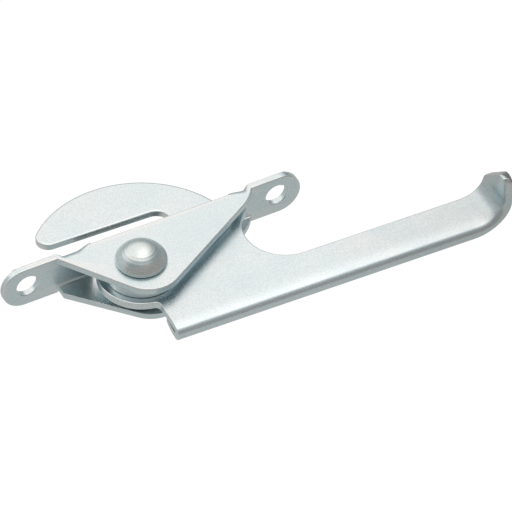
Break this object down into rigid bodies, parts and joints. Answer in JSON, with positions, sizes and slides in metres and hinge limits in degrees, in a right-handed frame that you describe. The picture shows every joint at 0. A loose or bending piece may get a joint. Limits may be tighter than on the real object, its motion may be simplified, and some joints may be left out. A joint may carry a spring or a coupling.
{
  "type": "rotary lever latch",
  "caption": "Folded sheet bracket with screw ears; a riveted lever swings a slotted hook blade that catches or frees a keeper pin.",
  "frame": {"origin": "midway between the two screw-hole centres, on the back face of the ears, which goes against the panel", "axes": "+X along the screw line towards the handle's free end, +Y into the panel, +Z along the rivet towards its domed head"},
  "size_m": [0.1335, 0.0595, 0.0247],
  "materials": {
    "bracket_sheet": "bright zinc plate with blue passivation",
    "blade_sheet": "bright zinc plate with blue passivation",
    "lever_sheet": "bright zinc plate with blue passivation",
    "rivet": "satin zinc plate, pressed dome",
    "washer": "zinc plate",
    "spring_washer": "hardened spring steel, dark"
  },
  "bodies": {
    "bracket": {"mounting_bracket": "bracket_sheet", "wave_washer": "spring_washer"},
    "lever": {"lever_handle": "lever_sheet", "hook_blade": "blade_sheet", "pivot_rivet": "rivet", "thrust_washer": "washer"}
  },
  "joints": [
    {"name": "lever_turn", "type": "hinge", "parent": "bracket", "child": "lever", "pos_m": [-0.0092, -0.0126, 0], "axis": [0, 0, 1], "range_deg": [-90, 0]}
  ]
}
